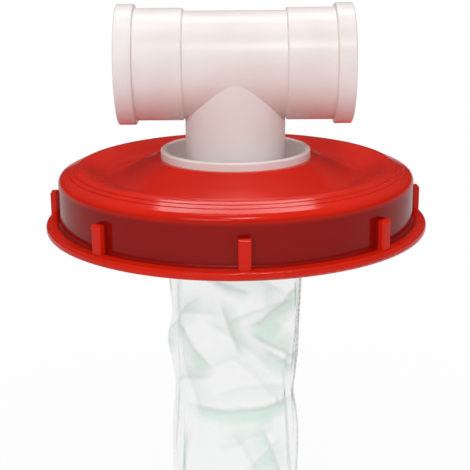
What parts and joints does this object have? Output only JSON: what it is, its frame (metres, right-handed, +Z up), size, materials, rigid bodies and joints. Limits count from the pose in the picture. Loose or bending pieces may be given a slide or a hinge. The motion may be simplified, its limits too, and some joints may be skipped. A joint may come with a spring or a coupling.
{
  "type": "tank lid with vent tee and filter bag",
  "caption": "Threaded tank lid with a T-shaped vent pipe plugged into a cup at its centre and a hanging mesh filter bag under it.",
  "frame": {"origin": "on the lid's axis, in the plane where the gasket seals on the rim of the tank neck", "axes": "+Z up along the lid's axis, out of the tank; +X along the run of the tee"},
  "size_m": [0.1924, 0.1924, 0.333],
  "materials": {
    "red_polyethylene": "moulded, half gloss",
    "white_pvc": "moulded, satin",
    "black_rubber": "matt",
    "nylon_mesh": "fine woven mesh, see-through",
    "cuff_tape": "woven tape",
    "stainless_steel": "rolled strip"
  },
  "bodies": {
    "lid": {"lid_shell": "red_polyethylene", "rim_gasket": "black_rubber", "adapter_cup": "white_pvc", "adapter_washer": "black_rubber", "backnut": "white_pvc", "filter_bag": "nylon_mesh", "bag_cuff": "cuff_tape", "clamp_band": "stainless_steel", "clamp_housing": "stainless_steel"},
    "seal_ring": {"leg_seal": "black_rubber"},
    "tee": {"vent_tee": "white_pvc"},
    "clamp_worm": {"clamp_screw": "stainless_steel"}
  },
  "joints": [
    {"name": "tee_turn", "type": "hinge", "parent": "lid", "child": "seal_ring", "pos_m": [0, 0, 0], "axis": [0, 0, 1], "continuous": true},
    {"name": "tee_lift", "type": "slide", "parent": "seal_ring", "child": "tee", "axis": [0, 0, 1], "range_m": [0, 0.028]},
    {"name": "clamp_screw_turn", "type": "hinge", "parent": "lid", "child": "clamp_worm", "pos_m": [0.03187, 0.02674, -0.0209], "axis": [0.6428, -0.766, 0], "continuous": true}
  ]
}
